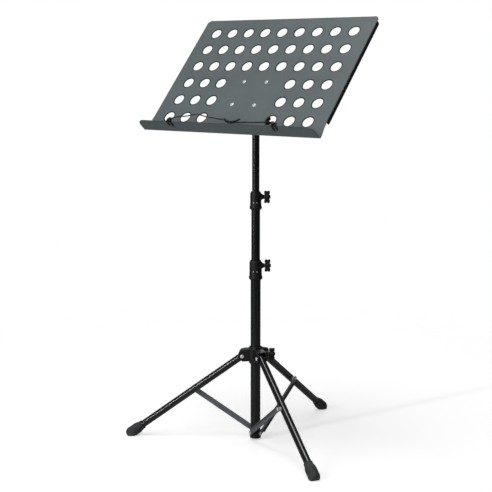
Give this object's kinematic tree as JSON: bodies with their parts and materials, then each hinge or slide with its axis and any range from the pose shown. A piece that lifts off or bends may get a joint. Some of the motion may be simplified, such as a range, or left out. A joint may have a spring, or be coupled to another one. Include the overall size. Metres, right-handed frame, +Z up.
{
  "type": "folding sheet music stand",
  "caption": "Folding music stand: a punched sheet-steel desk with a shelf and swinging page arms, tilting on a telescoping column with clamp collars, over a fold-up tripod.",
  "frame": {"origin": "on the floor, under the middle of the stand's outline seen from above", "axes": "+Z up; the desk faces -Y and leans back towards +Y; +X is the reader's right"},
  "size_m": [0.5144, 0.4628, 0.9321],
  "materials": {
    "slate_enamel": "slate-grey satin enamel with a fine orange peel",
    "black_enamel": "gloss black enamel",
    "black_plastic": "black moulded plastic with a fine texture",
    "grey_steel": "dark grey zinc and lacquer on pressed steel",
    "bright_steel": "bright zinc plating",
    "yellow_zinc": "yellow passivated zinc plating",
    "grey_rubber": "dull dark grey rubber",
    "pale_nylon": "natural nylon"
  },
  "bodies": {
    "column": {"outer_tube": "black_enamel", "lower_collar": "black_plastic", "bottom_bracket": "black_plastic", "brace_pin_right": "bright_steel", "brace_pin_back": "bright_steel", "brace_pin_left": "bright_steel"},
    "lower_clamp": {"lower_clamp_screw": "bright_steel", "lower_clamp_knob": "black_plastic"},
    "lower_ring": {"lower_liner": "pale_nylon"},
    "middle": {"middle_tube": "black_enamel", "middle_tube_plug": "black_plastic", "upper_collar": "black_plastic"},
    "upper_clamp": {"upper_clamp_screw": "bright_steel", "upper_clamp_knob": "black_plastic"},
    "upper_ring": {"upper_liner": "pale_nylon"},
    "upper": {"upper_tube": "black_enamel", "upper_tube_plug": "black_plastic", "tilt_head": "black_plastic", "tilt_bolt": "bright_steel", "tilt_washer_left": "pale_nylon", "tilt_washer_right": "pale_nylon"},
    "tilt_knob": {"tilt_knob": "black_plastic"},
    "desk": {"desk_plate": "slate_enamel", "desk_bracket": "black_enamel", "desk_rivet_1": "bright_steel", "desk_rivet_2": "bright_steel", "desk_rivet_3": "bright_steel", "desk_rivet_4": "bright_steel", "page_clip_left": "black_enamel", "page_clip_right": "black_enamel"},
    "arm_left": {"page_wire_left": "black_enamel"},
    "arm_right": {"page_wire_right": "black_enamel"},
    "hub_slider": {"hub": "black_plastic", "hub_pin_right": "bright_steel", "hub_pin_back": "bright_steel", "hub_pin_left": "bright_steel"},
    "hub_clamp": {"hub_clamp_screw": "yellow_zinc", "hub_clamp_knob": "black_plastic"},
    "leg_right": {"leg_right": "black_enamel", "leg_bush_right": "bright_steel", "foot_right": "grey_rubber"},
    "brace_right": {"brace_right": "grey_steel", "leg_pin_right": "bright_steel"},
    "leg_back": {"leg_back": "black_enamel", "leg_bush_back": "bright_steel", "foot_back": "grey_rubber"},
    "brace_back": {"brace_back": "grey_steel", "leg_pin_back": "bright_steel"},
    "leg_left": {"leg_left": "black_enamel", "leg_bush_left": "bright_steel", "foot_left": "grey_rubber"},
    "brace_left": {"brace_left": "grey_steel", "leg_pin_left": "bright_steel"}
  },
  "joints": [
    {"name": "lower_clamp_turn", "type": "hinge", "parent": "column", "child": "lower_clamp", "pos_m": [-0.00792, -0.0636, 0.3963], "axis": [0.8368, 0.5476, 0], "range_deg": [0, 900]},
    {"name": "lower_swivel", "type": "hinge", "parent": "column", "child": "lower_ring", "pos_m": [-0.00792, -0.0636, 0.3983], "axis": [0, 0, 1], "continuous": true},
    {"name": "middle_slide", "type": "slide", "parent": "lower_ring", "child": "middle", "axis": [0, 0, 1], "range_m": [-0.109, 0.135]},
    {"name": "upper_clamp_turn", "type": "hinge", "parent": "middle", "child": "upper_clamp", "pos_m": [-0.00792, -0.0636, 0.5478], "axis": [0.8368, 0.5476, 0], "range_deg": [0, 900]},
    {"name": "upper_swivel", "type": "hinge", "parent": "middle", "child": "upper_ring", "pos_m": [-0.00792, -0.0636, 0.5498], "axis": [0, 0, 1], "continuous": true},
    {"name": "upper_slide", "type": "slide", "parent": "upper_ring", "child": "upper", "axis": [0, 0, 1], "range_m": [-0.126, 0.12]},
    {"name": "tilt_knob_turn", "type": "hinge", "parent": "upper", "child": "tilt_knob", "pos_m": [-0.00792, -0.0636, 0.7178], "axis": [1, 0, 0], "range_deg": [0, 720]},
    {"name": "desk_tilt", "type": "hinge", "parent": "upper", "child": "desk", "pos_m": [-0.00792, -0.0636, 0.7178], "axis": [1, 0, 0], "range_deg": [-48.4, 41.6]},
    {"name": "left_arm_swing", "type": "hinge", "parent": "desk", "child": "arm_left", "pos_m": [-0.14691, -0.18656, 0.71691], "axis": [0, -0.7478, 0.6639], "range_deg": [0, 90]},
    {"name": "right_arm_swing", "type": "hinge", "parent": "desk", "child": "arm_right", "pos_m": [0.13109, -0.18656, 0.71691], "axis": [0, 0.7478, -0.6639], "range_deg": [0, 90]},
    {"name": "tripod_fold", "type": "slide", "parent": "column", "child": "hub_slider", "axis": [0, 0, 1], "range_m": [0, 0.13025]},
    {"name": "hub_clamp_turn", "type": "hinge", "parent": "hub_slider", "child": "hub_clamp", "pos_m": [-0.00792, -0.0636, 0.19731], "axis": [0.8368, 0.5476, 0], "range_deg": [0, 900]},
    {"name": "leg_right_swing", "type": "hinge", "parent": "hub_slider", "child": "leg_right", "pos_m": [0.01797, -0.07668, 0.19232], "axis": [0.4509, 0.8926, 0], "range_deg": [0, 53.9]},
    {"name": "leg_back_swing", "type": "hinge", "parent": "hub_slider", "child": "leg_back", "pos_m": [-0.00953, -0.03465, 0.19232], "axis": [-0.9984, -0.0558, 0], "range_deg": [0, 53.9]},
    {"name": "leg_left_swing", "type": "hinge", "parent": "hub_slider", "child": "leg_left", "pos_m": [-0.03218, -0.07948, 0.19232], "axis": [0.5476, -0.8368, 0], "range_deg": [0, 53.9]},
    {"name": "brace_right_swing", "type": "hinge", "parent": "column", "child": "brace_right", "pos_m": [-0.00792, -0.0636, 0.0146], "axis": [-0.4509, -0.8926, 0], "range_deg": [0, 46.5]},
    {"name": "brace_back_swing", "type": "hinge", "parent": "column", "child": "brace_back", "pos_m": [-0.00792, -0.0636, 0.0146], "axis": [0.9984, 0.0558, 0], "range_deg": [0, 46.5]},
    {"name": "brace_left_swing", "type": "hinge", "parent": "column", "child": "brace_left", "pos_m": [-0.00792, -0.0636, 0.0146], "axis": [-0.5476, 0.8368, 0], "range_deg": [0, 46.5]}
  ],
  "couplings": [
    {"joint": "leg_right_swing", "follows": "tripod_fold", "rad_per_m": 7.2094},
    {"joint": "leg_back_swing", "follows": "tripod_fold", "rad_per_m": 7.2094},
    {"joint": "leg_left_swing", "follows": "tripod_fold", "rad_per_m": 7.2094},
    {"joint": "brace_right_swing", "follows": "tripod_fold", "rad_per_m": 6.2084},
    {"joint": "brace_back_swing", "follows": "tripod_fold", "rad_per_m": 6.2084},
    {"joint": "brace_left_swing", "follows": "tripod_fold", "rad_per_m": 6.2084}
  ]
}
